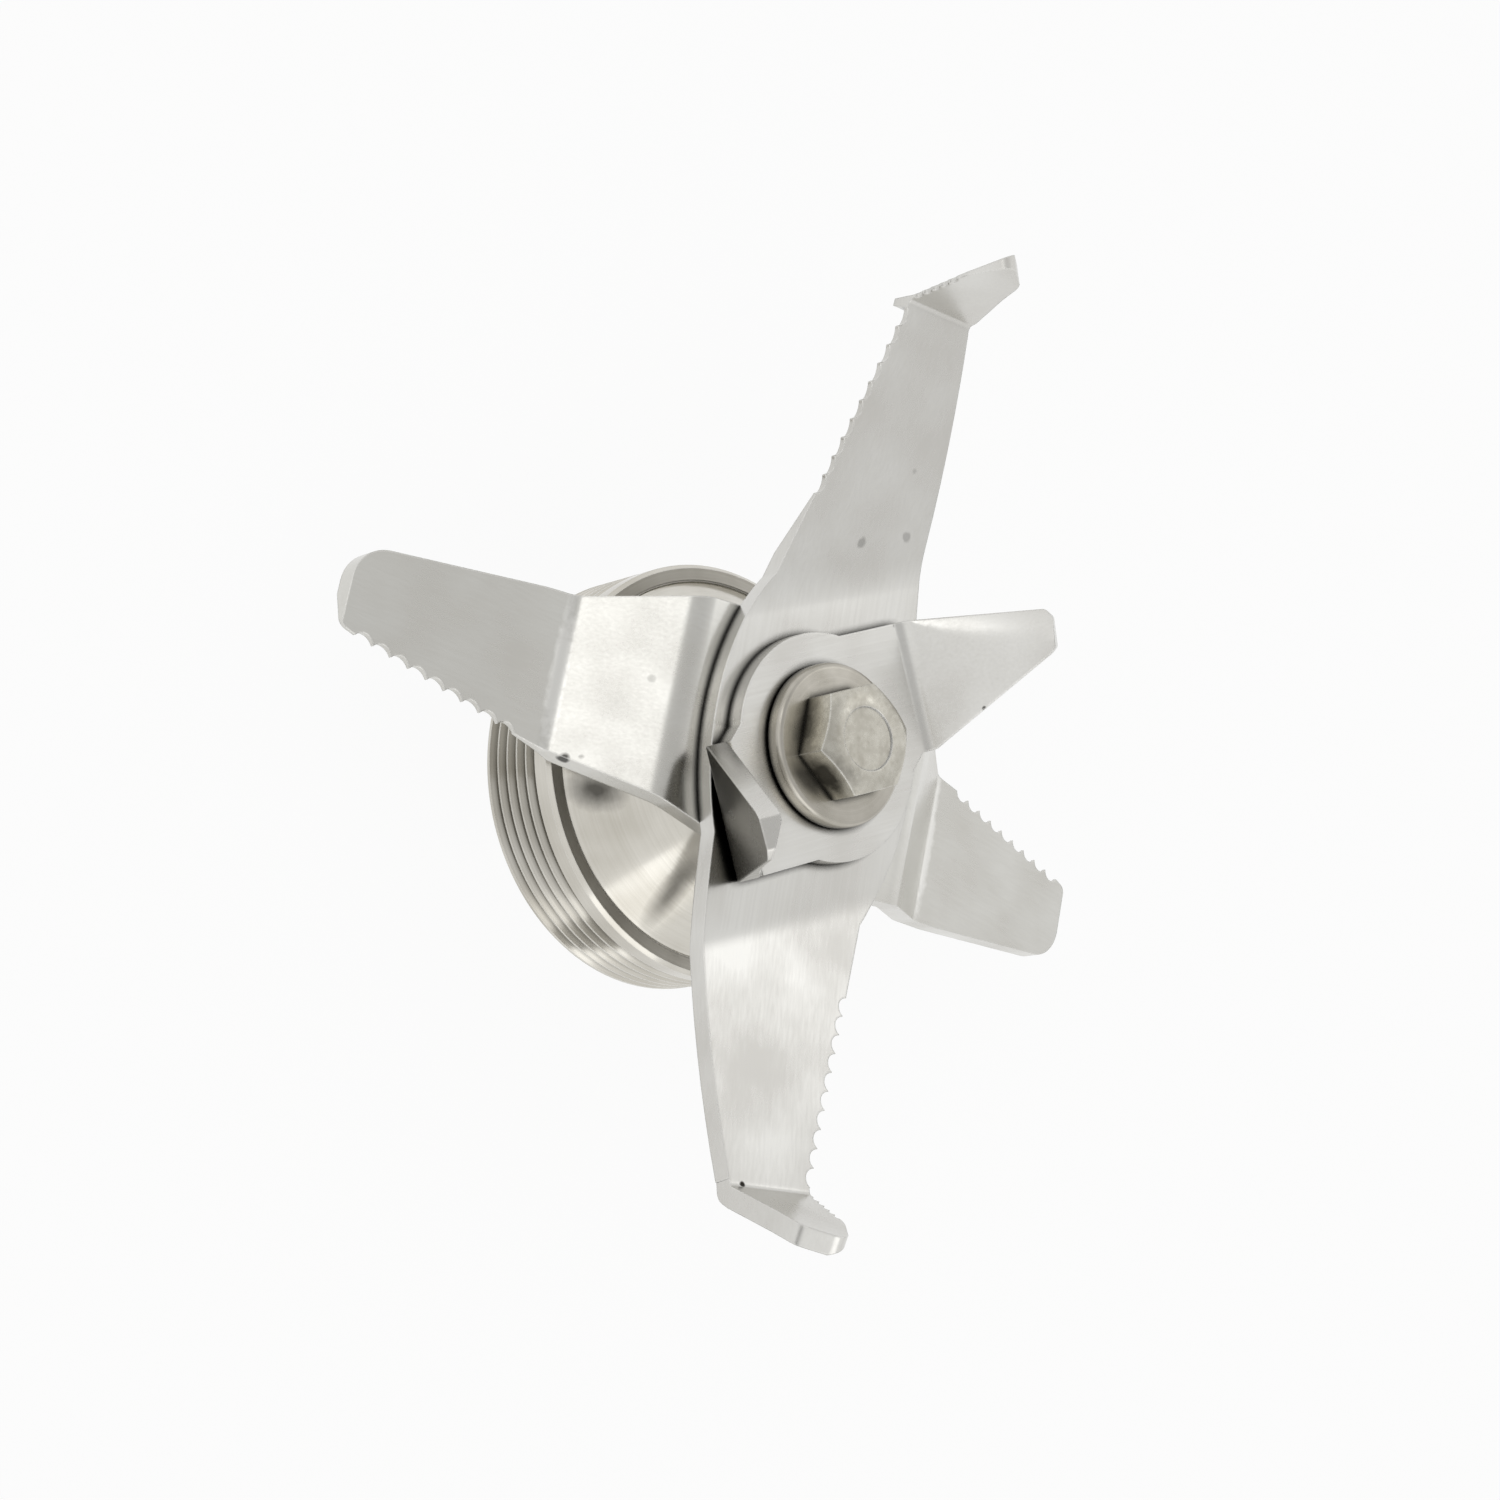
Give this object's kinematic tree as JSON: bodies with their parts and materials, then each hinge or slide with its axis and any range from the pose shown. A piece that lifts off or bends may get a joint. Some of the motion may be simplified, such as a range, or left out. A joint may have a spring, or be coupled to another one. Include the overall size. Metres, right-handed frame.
{
  "type": "blender blade assembly",
  "caption": "Blade unit of a kitchen blender: threaded steel collar with a bearing cone, and a spindle with stacked, bent, serrated blades held by a hex bolt and washer.",
  "frame": {"origin": "centre of the collar's flat foot, on the axis of rotation", "axes": "+Z along the axis of rotation, from the collar towards the bolt head; +X along the long blade's steeper arm; the low blade's arms point along Y"},
  "size_m": [0.0988, 0.0946, 0.044],
  "materials": {
    "blade_steel": "satin, with fine brushing along each arm",
    "collar_steel": "turned, warm grey",
    "bolt_steel": "cold-headed stainless, slightly dull",
    "spindle_steel": "turned and ground",
    "inner_steel": "ground bearing steel",
    "spring_steel": "dark spring steel",
    "cage_brass": "stamped",
    "seal_rubber": "matt nitrile"
  },
  "bodies": {
    "housing": {"housing": "collar_steel", "seal_case": "inner_steel", "seal_rubber": "seal_rubber", "garter_spring": "inner_steel", "upper_outer_ring": "inner_steel", "upper_shields": "inner_steel", "lower_outer_ring": "inner_steel", "lower_shields": "inner_steel", "outer_spacer": "inner_steel", "bore_clip": "spring_steel"},
    "rotor": {"spindle": "spindle_steel", "low_blade": "blade_steel", "main_blade": "blade_steel", "top_blade": "blade_steel", "washer": "bolt_steel", "hex_bolt": "bolt_steel", "upper_inner_ring": "inner_steel", "lower_inner_ring": "inner_steel", "inner_spacer": "inner_steel", "shaft_clip": "spring_steel", "drive_hub": "spindle_steel", "cross_pin": "spring_steel"},
    "upper_cage": {"upper_cage": "cage_brass", "upper_balls": "inner_steel"},
    "lower_cage": {"lower_cage": "cage_brass", "lower_balls": "inner_steel"}
  },
  "joints": [
    {"name": "rotor_spin", "type": "hinge", "parent": "housing", "child": "rotor", "pos_m": [0, 0, 0.0112], "axis": [0, 0, 1], "continuous": true},
    {"name": "upper_cage_spin", "type": "hinge", "parent": "housing", "child": "upper_cage", "pos_m": [0, 0, 0.014], "axis": [0, 0, 1], "continuous": true},
    {"name": "lower_cage_spin", "type": "hinge", "parent": "housing", "child": "lower_cage", "pos_m": [0, 0, 0.0084], "axis": [0, 0, 1], "continuous": true}
  ],
  "couplings": [
    {"joint": "upper_cage_spin", "follows": "rotor_spin", "ratio": 0.40417},
    {"joint": "lower_cage_spin", "follows": "rotor_spin", "ratio": 0.40417}
  ]
}
